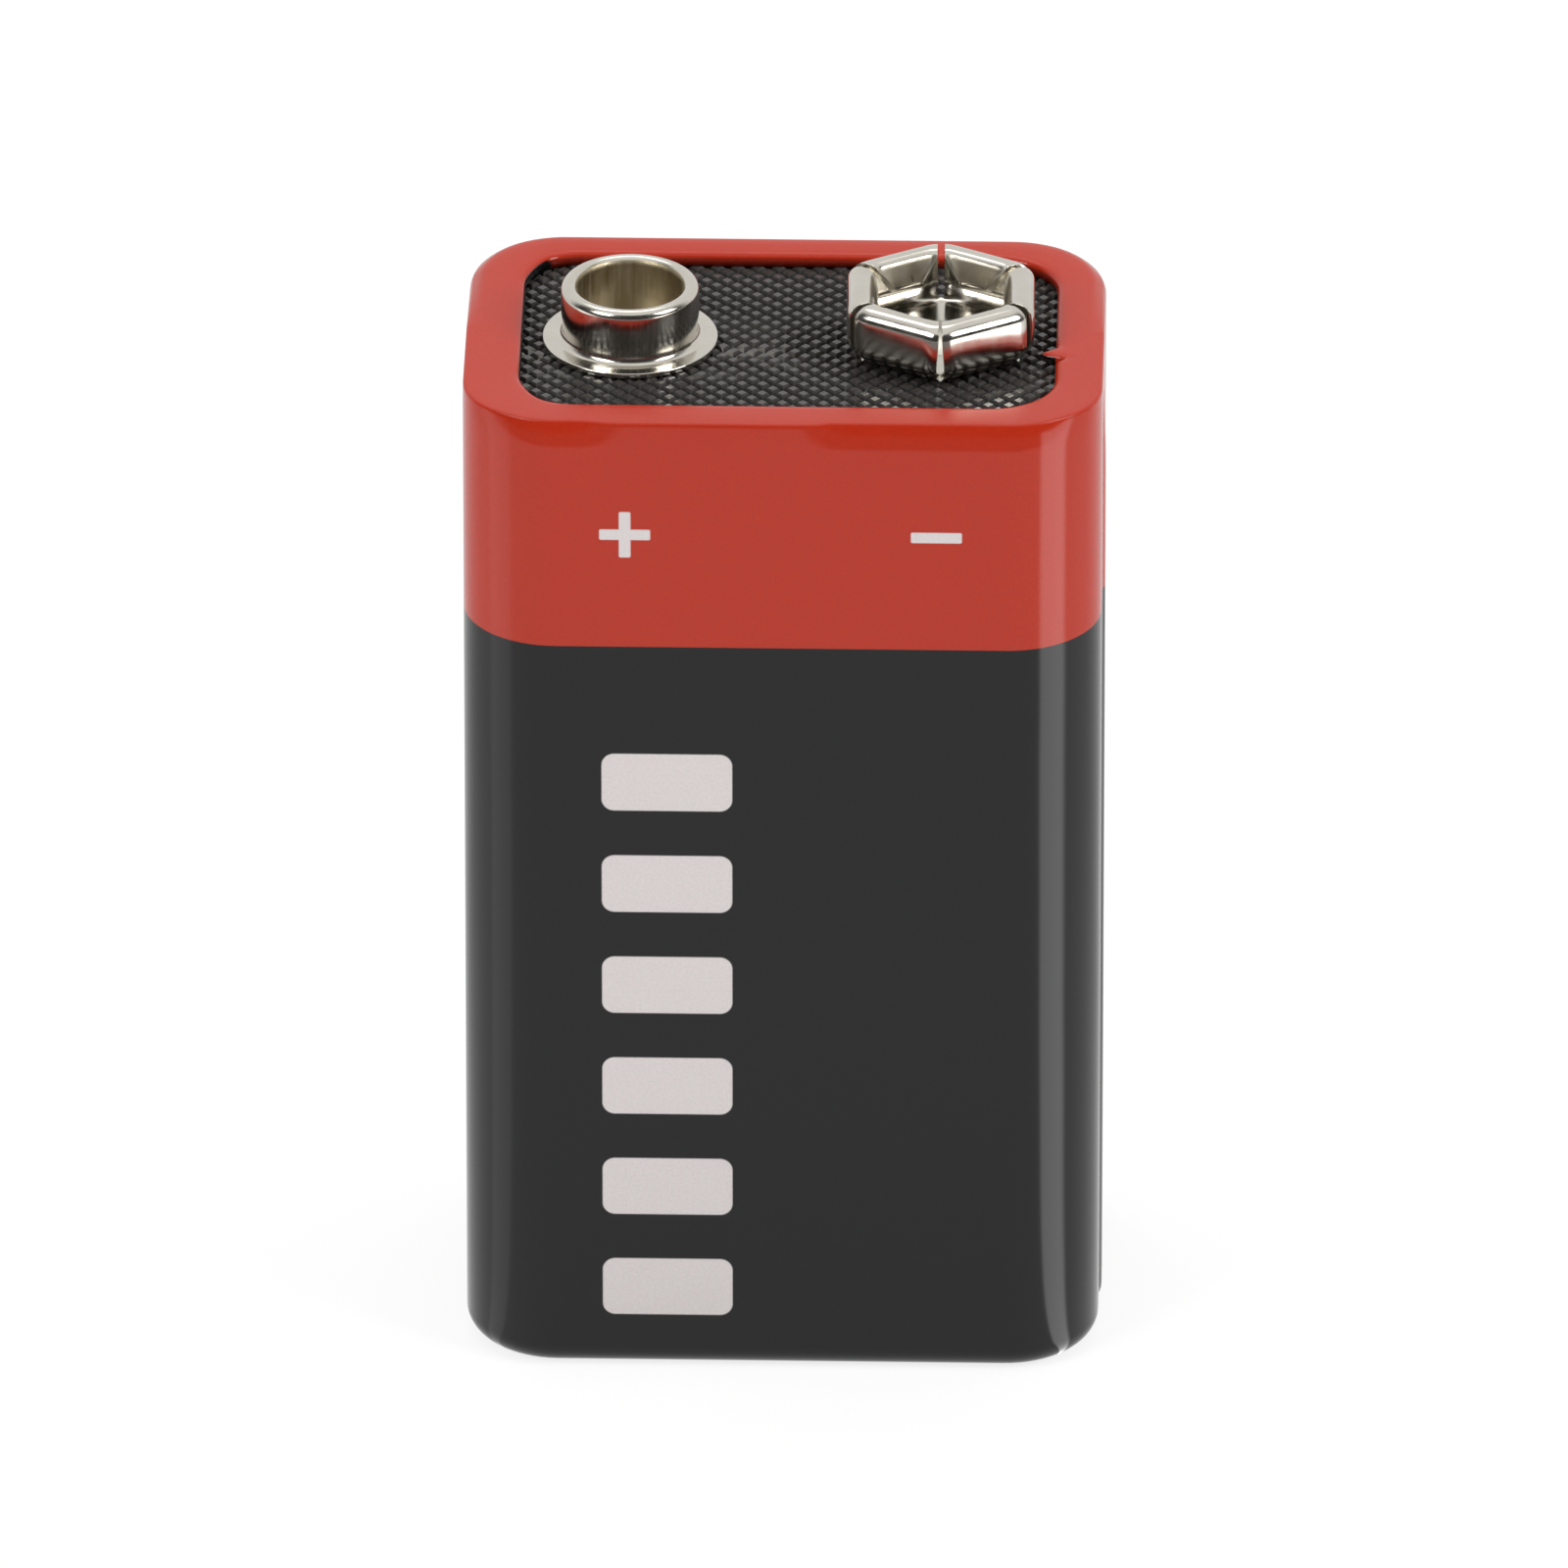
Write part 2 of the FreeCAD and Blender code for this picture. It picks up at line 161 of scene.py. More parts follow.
def new_material(name, inputs):
    """An empty material with one shader, its output and object coordinates."""
    material = bpy.data.materials.new(name)
    material.use_nodes = True
    tree = material.node_tree
    tree.nodes.clear()
    shader = node(tree, "ShaderNodeBsdfPrincipled", inputs)
    node(tree, "ShaderNodeOutputMaterial", {"Surface": shader.outputs[0]})
    place = node(tree, "ShaderNodeTexCoord").outputs["Object"]
    return material, tree, shader, place


def math_node(tree, operation, *values):
    """One step of arithmetic."""
    return node(tree, "ShaderNodeMath", dict(enumerate(values)), operation=operation).outputs[0]


def round_box(tree, across, up, centre, half, radius):
    """How far a point lies outside a printed box with round corners, in metres."""
    sides = []
    for value, middle, size in ((across, centre[0], half[0]), (up, centre[1], half[1])):
        away = math_node(tree, "ABSOLUTE", math_node(tree, "SUBTRACT", value, middle))
        sides.append(math_node(tree, "MAXIMUM", math_node(tree, "SUBTRACT", away, size - radius), 0.0))
    squares = [math_node(tree, "MULTIPLY", side, side) for side in sides]
    reach = math_node(tree, "SQRT", math_node(tree, "ADD", *squares))
    return math_node(tree, "SUBTRACT", reach, radius)


def ranged(tree, value, start, end, low=0.0, high=1.0, smooth=False):
    """A value brought from one range to another, and held at its ends."""
    return node(tree, "ShaderNodeMapRange", {"Value": value, "From Min": start, "From Max": end,
                "To Min": low, "To Max": high},
                interpolation_type="SMOOTHSTEP" if smooth else "LINEAR").outputs[0]


def printed(tree, distance, softness):
    """1 inside a printed edge and 0 outside it."""
    return ranged(tree, distance, softness / 2, -softness / 2)


def noise(tree, vector, scale, detail, roughness=0.5):
    """A procedural pattern between 0 and 1."""
    return node(tree, "ShaderNodeTexNoise", {"Vector": vector, "Scale": scale, "Detail": detail,
                "Roughness": roughness}).outputs[0]


def mixed(tree, factor, first, second):
    """A colour between two others."""
    return node(tree, "ShaderNodeMix", {"Factor": factor, "A": first, "B": second},
                data_type="RGBA").outputs["Result"]


def scaled(tree, tone, factor):
    """A colour made lighter or darker."""
    return node(tree, "ShaderNodeVectorMath", {0: tone, 1: factor}, operation="MULTIPLY").outputs[0]


def bumped(tree, shader, height, distance):
    """Relief on a shader's surface."""
    bump = node(tree, "ShaderNodeBump", {"Height": height, "Distance": distance})
    tree.links.new(bump.outputs[0], shader.inputs["Normal"])


# Printed marks, as places on the front: a cross and a bar for the two poles, and a gauge of bars.
# EDGE is how far the edge of an ink runs.
MARK_Z = 39.2 * MM
MARK_HALF = 1.05 * MM
MARK_STROKE = 0.24 * MM
GAUGE_X = -4.7 * MM
GAUGE_HALF_WIDTH = 2.7 * MM
GAUGE_LOW, GAUGE_HIGH = 2.6 * MM, 29.0 * MM
GAUGE_BARS = 6
BAR_GAP = 2.1 * MM
EDGE = 0.05 * MM
# The window's inner wall is painted in the lower ink, as painted shade, from this far below the lip's top
SHADE_DROP = 0.14 * MM
# Roughness of the film down its sides, and up on the lip where the shrinking dulls it
SIDE_GLOSS, LIP_GLOSS = 0.14, 0.34


def film_marks(tree, x, z):
    """The white marks of the front face."""
    pitch = (GAUGE_HIGH - GAUGE_LOW + BAR_GAP) / GAUGE_BARS
    step = math_node(tree, "SUBTRACT", z, GAUGE_LOW - BAR_GAP / 2)
    folded = math_node(tree, "MODULO", step, pitch)
    bar_half = (pitch - BAR_GAP) / 2
    bar = round_box(tree, x, folded, (GAUGE_X, pitch / 2), (GAUGE_HALF_WIDTH, bar_half), bar_half * 0.4)
    column = round_box(tree, x, z, (GAUGE_X, (GAUGE_LOW + GAUGE_HIGH) / 2),
                       (GAUGE_HALF_WIDTH + EDGE, (GAUGE_HIGH - GAUGE_LOW) / 2 + EDGE), EDGE)
    distance = math_node(tree, "MAXIMUM", bar, column)
    for centre_x, half in ((STUD_X, (MARK_HALF, MARK_STROKE)), (STUD_X, (MARK_STROKE, MARK_HALF)),
                           (SOCKET_X, (MARK_HALF, MARK_STROKE))):
        stroke = round_box(tree, x, z, (centre_x, MARK_Z), half, MARK_STROKE * 0.3)
        distance = math_node(tree, "MINIMUM", distance, stroke)
    return distance


def film_material(settings):
    """Gravure-printed PVC shrink film: even ink under a clear gloss, with the tube's faint ripple, and
    painted shade in the lower ink down the window's inner wall.
    """
    material, tree, shader, place = new_material("printed PVC shrink film", {
        "Roughness": 0.15, "IOR": 1.5, "Specular IOR Level": 0.3})
    x, y, z = node(tree, "ShaderNodeSeparateXYZ", {"Vector": place}).outputs
    upper = printed(tree, math_node(tree, "SUBTRACT", HEIGHT - settings.band_height, z), EDGE)
    fields = mixed(tree, upper, settings.lower_ink, settings.upper_ink)
    window = round_box(tree, x, y, (0, 0), (HALF_LENGTH - settings.lip_width,
                       HALF_WIDTH - settings.lip_width), settings.window_radius)
    # Painted shade: the lower ink darkens the window's inner wall below the lip's top
    below = math_node(tree, "SUBTRACT", z, LIP_TOP - SHADE_DROP)
    painted_shade = math_node(tree, "MULTIPLY", printed(tree, window, 0.06 * MM), printed(tree, below, EDGE))
    shaded_fields = mixed(tree, painted_shade, fields, settings.lower_ink)
    front = math_node(tree, "LESS_THAN", y, -HALF_WIDTH + 0.2 * MM)
    marks = math_node(tree, "MULTIPLY", printed(tree, film_marks(tree, x, z), EDGE), front)
    inks = mixed(tree, marks, shaded_fields, settings.mark_ink)
    speck = ranged(tree, noise(tree, place, 1 / (0.12 * MM), 1.0), 0.3, 0.7, 0.96, 1.04)
    tree.links.new(scaled(tree, inks, speck), shader.inputs["Base Color"])
    shrunk = ranged(tree, z, LIP_TOP - 0.12 * MM, LIP_TOP - 0.03 * MM, SIDE_GLOSS, LIP_GLOSS)
    tree.links.new(shrunk, shader.inputs["Roughness"])
    bumped(tree, shader, noise(tree, place, 1 / (7 * MM), 1.0), 0.03 * MM)
    return material


def board_material(settings):
    """Embossed black fibre laminate: semi-gloss resin over paper, with painted shade darkening it down in the
    grooves.
    """
    material, tree, shader, place = new_material("embossed black laminate", {
        "Roughness": 0.2, "IOR": 1.5, "Specular IOR Level": 0.5})
    fibre = noise(tree, place, 1 / (0.25 * MM), 3.0)
    tint = mixed(tree, fibre, settings.tint, linear("#45413e"))
    height = node(tree, "ShaderNodeSeparateXYZ", {"Vector": place}).outputs[2]
    # Painted shade: the colour darkens towards the bottom of the grooves
    groove_shade = ranged(tree, height, BOARD_HIGH.z - 0.15 * MM, BOARD_HIGH.z - 0.02 * MM, 0.15)
    tree.links.new(scaled(tree, tint, groove_shade), shader.inputs["Base Color"])
    bumped(tree, shader, fibre, 0.01 * MM)
    return material


def plated_material(settings, centre_x, name, roughness, tint, mark_width, mark_depth, stain_tint=None):
    """Bright nickel plate over drawn steel, with upright draw marks round each terminal's axis."""
    material, tree, shader, place = new_material(name, {"Metallic": 1.0, "Roughness": roughness})
    local = node(tree, "ShaderNodeVectorMath", {0: place, 1: (centre_x, 0, 0)}, operation="SUBTRACT")
    x, y, z = node(tree, "ShaderNodeSeparateXYZ", {"Vector": local.outputs[0]}).outputs
    round_axis = math_node(tree, "MULTIPLY", math_node(tree, "ARCTAN2", y, x),
                           settings.head_radius / mark_width)
    down = math_node(tree, "MULTIPLY", z, 1 / (3 * MM))
    line = node(tree, "ShaderNodeCombineXYZ", {"X": round_axis, "Y": down})
    marks = noise(tree, line.outputs[0], 1.0, 3.0, 0.6)
    stain = noise(tree, place, 1 / (1.1 * MM), 2.0)
    tree.links.new(mixed(tree, stain, tint, stain_tint or settings.plating), shader.inputs["Base Color"])
    rough = ranged(tree, marks, 0.3, 0.7, roughness * 0.7, roughness * 1.4)
    tree.links.new(rough, shader.inputs["Roughness"])
    bumped(tree, shader, marks, mark_depth)
    return material


def plain_material(name, hex_colour, metallic, roughness, grain, depth):
    """An inner piece's finish: one tone, with its grain in colour and bump."""
    material, tree, shader, place = new_material(name, {"Metallic": metallic, "Roughness": roughness})
    pattern = noise(tree, place, 1 / grain, 3.0)
    tone = ranged(tree, pattern, 0.0, 1.0, 0.85, 1.1)
    tree.links.new(scaled(tree, linear(hex_colour)[:3], tone), shader.inputs["Base Color"])
    bumped(tree, shader, pattern, depth)
    return material


def finish_mesh(bm, name, materials, slot, *replaced):
    """Makes the finished piece of a bmesh, and ties it to the frame."""
    mesh = bpy.data.meshes.new(name)
    bm.to_mesh(mesh)
    bm.free()
    piece = bpy.data.objects.new(name, mesh)
    bpy.context.scene.collection.objects.link(piece)
    for material in materials:
        mesh.materials.append(material)
    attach(piece, "root")
    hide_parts(*replaced)
    return piece


def arc_points(centre, radius, start, end, steps):
    """Points of an arc in a radial plane, from one angle to another in degrees."""
    angles = [math.radians(start + (end - start) * i / steps) for i in range(steps + 1)]
    return [(centre[0] + radius * math.cos(a), centre[1] + radius * math.sin(a)) for a in angles]


def outline_ring(bm, half_x, half_y, radius, corner_steps, cuts_x, cuts_y):
    """A closed ring of edges at height 0: a rectangle with round corners and divided sides."""
    grid = bmesh.ops.create_grid(bm, x_segments=1, y_segments=1, size=1.0)
    bmesh.ops.scale(bm, vec=(half_x, half_y, 1), verts=grid["verts"])
    rounded = bmesh.ops.bevel(bm, geom=grid["verts"], offset=radius, offset_type="OFFSET",
                              affect="VERTICES", segments=corner_steps, profile=0.5, material=-1)
    edges = list({e for v in rounded["verts"] for e in v.link_edges})
    bmesh.ops.delete(bm, geom=list({f for e in edges for f in e.link_faces}), context="FACES_ONLY")
    chord = 2 * radius * math.sin(math.pi / 4 / corner_steps)
    sides = [e for e in edges if e.calc_length() > 1.5 * chord]
    for along_x, cuts in ((True, cuts_x), (False, cuts_y)):
        picked = []
        for edge in sides:
            run = edge.verts[0].co - edge.verts[1].co
            if (abs(run.x) > abs(run.y)) == along_x:
                picked.append(edge)
        made = bmesh.ops.subdivide_edges(bm, edges=picked, cuts=cuts)
        edges += [g for g in made["geom"] if isinstance(g, bmesh.types.BMEdge)]
    return list({e for e in edges if e.is_valid})


def reshape_ring(verts, old, new, z):
    """Moves a ring from one rounded rectangle to another, and to its height."""
    for v in verts:
        for_corner = [abs(v.co[i]) - (old[i] - old[2]) for i in (0, 1)]
        if min(for_corner) > -1e-7:
            turn = math.atan2(for_corner[1], for_corner[0])
            reach = (math.cos(turn), math.sin(turn))
            size = [new[i] - new[2] + new[2] * reach[i] for i in (0, 1)]
        else:
            size = [new[i] if for_corner[i] > -1e-7 else abs(v.co[i]) * (new[i] - new[2]) / (old[i] - old[2])
                    for i in (0, 1)]
        v.co = (math.copysign(size[0], v.co.x), math.copysign(size[1], v.co.y), z)


# The upper lip's section from the crease to the board, in millimetres: inset, and depth below the top
LIP = ((0.5, 0.0), (0.7, 0.0), (1.1, 0.01), (1.5, 0.025), (1.72, 0.04), (1.86, 0.08), (1.95, 0.15),
       (1.99, 0.24), (2.0, 0.35))
# How many steps the upright side and the leaning shoulder take
SIDE_STEPS = 12


def film_sections(settings):
    """The film's section, from the lower window to the upper: inset, height and corner radius."""
    lip, turn = settings.lip_width, settings.lip_round
    corner = settings.corner_radius
    low, bend = settings.bottom_round, settings.crease
    shift = settings.window_radius + lip
    sections = [(lip, 0.36 * MM, shift - lip)]
    sections += [(inset, z, shift - inset) for inset, z in arc_points((lip - turn, turn), turn, 0, -90, 6)]
    sections += [(inset, z, corner - inset) for inset, z in arc_points((low, low), low, -90, -180, 12)]
    start = LIP_TOP - settings.shoulder
    for i in range(1, SIDE_STEPS):
        sections.append((0.0, low + (start - low) * i / SIDE_STEPS, corner))
    steep = math.atan(2 * settings.lean / settings.shoulder)
    centre = (settings.lean + bend * math.cos(steep), LIP_TOP - bend)
    rise = bend * (1 - math.sin(steep))
    for i in range(1, SIDE_STEPS):
        share = i / SIDE_STEPS
        sections.append((settings.lean * share ** 2, start + (LIP_TOP - rise - start) * share,
                         corner - settings.lean * share ** 2))
    sections += [(inset, z, corner - inset)
                 for inset, z in arc_points(centre, bend, 180 - math.degrees(steep), 92, 8)]
    for across, down in LIP:
        inset = across * MM
        share = min(1.0, (inset - bend * 2) / (1.2 * MM))
        sections.append((inset, LIP_TOP - down * MM, corner + (shift - corner) * share - inset))
    sections.append((lip, BOARD_HIGH.z, shift - lip))
    return sections


def bell(value, middle, half_width):
    """1 in the middle, falling smoothly to 0 at both ends."""
    away = min(1.0, abs(value - middle) / half_width)
    return (1 - away * away) ** 2


# The sleeve's lap down the right side: its middle, half its width, its step, how far its tongue
# reaches in over the window, and how far the notch in front of the tongue draws back and down
SEAM_Y = -1.8 * MM
SEAM_HALF = 1.2 * MM
SEAM_STEP = 0.1 * MM
TUCK_REACH = 0.72 * MM
NOTCH_BACK, NOTCH_DOWN = 0.3 * MM, 0.12 * MM
# Where the front's shoulder is filled out, along X, and how soft the ends of that stretch are
FULL_LOW, FULL_HIGH, FULL_SOFT = -8.0 * MM, 2.2 * MM, 0.8 * MM
# The back rim's rounding, and the left end's lip: how far in it lies, and where that fades out
BACK_ROUND = 0.8 * MM
SLACK = 0.34 * MM
SLACK_START, SLACK_END = 3.4 * MM, 2.2 * MM


def lap_seam(bm, settings):
    """Raises the lap where the sleeve's ends overlap, and pushes its point out over the window."""
    bm.normal_update()
    edge = HALF_LENGTH - settings.lip_width
    moves = []
    for v in bm.verts:
        if v.co.x < edge - 0.05 * MM or abs(v.co.y - SEAM_Y) > 2 * MM:
            continue
        rise = ramp(v.co.y, SEAM_Y - SEAM_HALF, SEAM_Y - SEAM_HALF + 0.1 * MM)
        fall = ramp(v.co.y, SEAM_Y + SEAM_HALF, SEAM_Y + SEAM_HALF - 0.6 * MM)
        fade = ramp(v.co.z, HEIGHT - 1.0 * MM, HEIGHT - 2.0 * MM)
        fade = fade if v.co.x > HALF_LENGTH - 0.6 * MM else 0.0
        move = v.normal * SEAM_STEP * rise * fall * fade
        if v.co.z > HEIGHT - 0.4 * MM:
            near = max(0.0, 1 - (v.co.x - edge) / (0.42 * MM))
            move.x -= TUCK_REACH * bell(v.co.y, SEAM_Y + 0.05 * MM, 0.5 * MM) * near
            notch = bell(v.co.y, SEAM_Y - 0.5 * MM, 0.3 * MM)
            move.x += NOTCH_BACK * notch * near
            move.z -= NOTCH_DOWN * notch * near
        moves.append((v, move))
    for v, move in moves:
        v.co += move


def rim_places(bm, settings):
    """The shoulder's and the lip's vertices, each with its way past the straight sides and its inset."""
    core = (HALF_LENGTH - settings.corner_radius, HALF_WIDTH - settings.corner_radius)
    for v in bm.verts:
        if v.co.z >= LIP_TOP - settings.shoulder:
            past = [max(0.0, abs(v.co[i]) - core[i]) for i in (0, 1)]
            yield v, past, settings.corner_radius - math.hypot(*past)


def full_shoulder(bm, settings):
    """Fills the shoulder out at both ends and over part of the front."""
    for v, past, inset in rim_places(bm, settings):
        if inset > settings.lean + settings.crease * 1.2:
            continue
        out = Vector((math.copysign(past[0], v.co.x), math.copysign(past[1], v.co.y), 0)).normalized()
        enter = ramp(v.co.x, FULL_LOW, FULL_LOW + FULL_SOFT)
        leave = ramp(v.co.x, FULL_HIGH, FULL_HIGH - FULL_SOFT)
        share = max(min(enter, leave) * 0.8, ramp(abs(out.x), 0.5, 0.9) * 0.85)
        v.co += out * min(inset, settings.lean) * share * share * (3 - 2 * share)


def slack_corner(bm, settings):
    """Rounds the back rim off, and lets the left end's lip lie a little further in."""
    back_start = HALF_WIDTH - settings.corner_radius
    for v, past, inset in rim_places(bm, settings):
        inset = max(0.0, inset)
        if v.co.y > 0 and inset < BACK_ROUND:
            low = LIP_TOP - BACK_ROUND + math.sqrt(BACK_ROUND ** 2 - (BACK_ROUND - inset) ** 2)
            v.co.z -= max(0.0, v.co.z - low) * ramp(v.co.y, 0.0, back_start)
        fade = ramp(v.co.x, SLACK_START - HALF_LENGTH, SLACK_END - HALF_LENGTH)
        v.co.x += SLACK * ramp(inset, 0.8 * MM, 1.8 * MM) * fade


class BATTERY_OT_film(bpy.types.Operator):
    """Lofts the film through its sections, and gives it its thickness"""
    bl_idname = "battery.film"
    bl_label = "Printed film"

    def execute(self, context):
        settings = context.scene.battery_film
        bm = bmesh.new()
        sections = film_sections(settings)
        inset, z, radius = sections[0]
        shape = (HALF_LENGTH - inset, HALF_WIDTH - inset, radius)
        ring = outline_ring(bm, *shape, corner_steps=16, cuts_x=30, cuts_y=70)
        bmesh.ops.translate(bm, vec=(0, 0, z), verts=bm.verts)
        for inset, z, radius in sections[1:]:
            made = bmesh.ops.extrude_edge_only(bm, edges=ring)
            ring = [g for g in made["geom"] if isinstance(g, bmesh.types.BMEdge) and g.is_boundary]
            verts = [g for g in made["geom"] if isinstance(g, bmesh.types.BMVert)]
            old, shape = shape, (HALF_LENGTH - inset, HALF_WIDTH - inset, radius)
            reshape_ring(verts, old, shape, z)
        bmesh.ops.recalc_face_normals(bm, faces=bm.faces)
        full_shoulder(bm, settings)
        slack_corner(bm, settings)
        lap_seam(bm, settings)
        for face in bm.faces:
            face.smooth = True
        piece = finish_mesh(bm, "printed_film", [film_material(settings)], "printed_film", "label_sleeve")
        wall = piece.modifiers.new("film thickness", "SOLIDIFY")
        wall.thickness = settings.thickness
        wall.offset = -1.0
        return {"FINISHED"}


BOARD_CORNER = 3.55 * MM
BOARD_EDGE = 0.6 * MM
# The rounding of the board's edge: how far out and how far down each ring lies, as shares of the edge
EDGE_RINGS = ((0.6, 0.25), (1.0, 1.0))


class BATTERY_OT_board(bpy.types.Operator):
    """Embosses a grid of diamonds, trims it to the board and gives it its thickness"""
    bl_idname = "battery.board"
    bl_label = "Embossed board"

    def execute(self, context):
        settings = context.scene.battery_board
        size = BOARD_HIGH - BOARD_LOW
        cells = int(1.5 * size.x / settings.pitch)
        bm = bmesh.new()
        bmesh.ops.create_grid(bm, x_segments=cells, y_segments=cells, size=cells * settings.pitch / 2)
        bmesh.ops.rotate(bm, cent=(0, 0, 0), matrix=Matrix.Rotation(math.radians(45), 3, "Z"),
                         verts=bm.verts)
        bmesh.ops.translate(bm, vec=(0, 0, BOARD_HIGH.z - settings.depth), verts=bm.verts)
        far = [f for f in bm.faces if abs(f.calc_center_median().x) > size.x / 2 + settings.pitch
               or abs(f.calc_center_median().y) > size.y / 2 + settings.pitch]
        bmesh.ops.delete(bm, geom=far, context="FACES")
        bmesh.ops.inset_individual(bm, faces=bm.faces, thickness=settings.ridge, depth=settings.depth,
                                   use_even_offset=True)
        half_x, half_y = size.x / 2 - BOARD_EDGE, size.y / 2 - BOARD_EDGE
        corner = BOARD_CORNER - BOARD_EDGE
        cuts = [(Vector((1, 0, 0)), half_x), (Vector((0, 1, 0)), half_y)]
        centre = Vector((half_x - corner, half_y - corner, 0))
        for i in range(1, 6):
            turn = math.radians(90 * i / 6)
            outward = Vector((math.cos(turn), math.sin(turn), 0))
            cuts.append((outward, centre.dot(outward) + corner))
        for outward, reach in cuts:
            for sign_x in (1, -1):
                for sign_y in (1, -1):
                    side = Vector((outward.x * sign_x, outward.y * sign_y, 0))
                    geom = list(bm.verts) + list(bm.edges) + list(bm.faces)
                    bmesh.ops.bisect_plane(bm, geom=geom, plane_co=side * reach, plane_no=side,
                                           clear_outer=True)
        rim = [e for e in bm.edges if e.is_boundary]
        reached = 0.0
        for grow, drop in EDGE_RINGS:
            made = bmesh.ops.extrude_edge_only(bm, edges=rim)
            verts = [g for g in made["geom"] if isinstance(g, bmesh.types.BMVert)]
            rim = [g for g in made["geom"] if isinstance(g, bmesh.types.BMEdge) and g.is_boundary]
            for v in verts:
                v.co.z = BOARD_HIGH.z - BOARD_EDGE * drop
            factor = [(half + BOARD_EDGE * grow) / (half + BOARD_EDGE * reached) for half in (half_x, half_y)]
            bmesh.ops.scale(bm, vec=(*factor, 1), verts=verts)
            reached = grow
        made = bmesh.ops.extrude_edge_only(bm, edges=rim)
        for v in made["geom"]:
            if isinstance(v, bmesh.types.BMVert):
                v.co.z = BOARD_LOW.z
        bmesh.ops.holes_fill(bm, edges=[e for e in bm.edges if e.is_boundary], sides=0)
        bmesh.ops.recalc_face_normals(bm, faces=bm.faces)
        finish_mesh(bm, "embossed_board", [board_material(settings)], "board_laminate", "terminal_board")
        return {"FINISHED"}


def spun(points, centre_x, steps):
    """A section of radius and height turned once round a terminal's axis."""
    bm = bmesh.new()
    verts = [bm.verts.new((r, 0, z)) for r, z in points]
    edges = [bm.edges.new(pair) for pair in zip(verts, verts[1:])]
    bmesh.ops.spin(bm, geom=verts + edges, cent=(0, 0, 0), axis=(0, 0, 1), angle=math.tau, steps=steps,
                   use_merge=True)
    bmesh.ops.remove_doubles(bm, verts=bm.verts, dist=1e-7)
    bmesh.ops.recalc_face_normals(bm, faces=bm.faces)
    bmesh.ops.translate(bm, vec=(centre_x, 0, 0), verts=bm.verts)
    return bm


class BATTERY_OT_stud(bpy.types.Operator):
    """Spins the folded stud: flange, foot, wall, rolled rim and inner wall"""
    bl_idname = "battery.stud"
    bl_label = "Positive stud"

    def execute(self, context):
        settings = context.scene.battery_terminals
        z0, z1 = STUD_LOW.z, STUD_HIGH.z
        sheet = settings.sheet
        flange = STUD_HIGH.x - STUD_X
        neck, head, bore = settings.neck_radius, settings.head_radius, settings.bore_radius
        foot = 0.32 * MM
        roll = (head - bore) / 2
        rim = 0.06 * MM
        points = [(RIVET_HOLE, z0), (flange - rim, z0)]
        points += arc_points((flange - rim, z0 + rim), rim, -90, 0, 3)
        points += arc_points((flange - rim, z0 + sheet - rim), rim, 0, 90, 3)
        points += arc_points((neck + foot, z0 + sheet + foot), foot, -90, -180, 8)
        points += [(neck, z0 + sheet + foot + 0.1 * MM), (head, z1 - roll - 0.9 * MM), (head, z1 - roll)]
        points += arc_points((head - roll, z1 - roll), roll, 0, 180, 16)[1:]
        points += [(bore, z0 + sheet + 0.1 * MM), (bore - 0.1 * MM, z0 + sheet),
                   (RIVET_HOLE, z0 + sheet), (RIVET_HOLE, z0)]
        bm = spun(points, STUD_X, 128)
        axis = Vector((STUD_X, 0, 0))
        for face in bm.faces:
            face.smooth = True
            middle = face.calc_center_median() - axis
            inside = math.hypot(middle.x, middle.y) < bore + roll * 0.6 and middle.z > z0 + sheet * 0.9
            face.material_index = 1 if inside and middle.z < z1 - roll * 0.35 else 0
        bright = plated_material(settings, STUD_X, "bright nickel plate, drawn", 0.16, linear("#c2bdb2"),
                                 0.12 * MM, 0.004 * MM)
        # The bore's finish: a rougher satin plate in a brownish tone, darkened as painted shade inside the
        # bore
        satin_and_shade = plated_material(settings, STUD_X, "satin nickel plate with painted shade inside the stud", 0.42,
                               linear("#8a7d65"), 0.3 * MM, 0.004 * MM, linear("#b5a98e"))
        piece = finish_mesh(bm, "stud_shell", [bright, satin_and_shade], "terminal_nickel", "positive_stud")
        piece.data.set_sharp_from_angle(angle=math.radians(50))
        return {"FINISHED"}


PETALS = 6
PETAL_COLUMNS = 18
PETAL_CURL = 0.1 * MM
# The two front petals lean inward above this height over the socket's foot, by this slope
LEAN_START, LEAN_SLOPE = 0.9 * MM, 0.114
# The whole socket is turned a little on its rivet, in degrees
SOCKET_TURN = 0.8


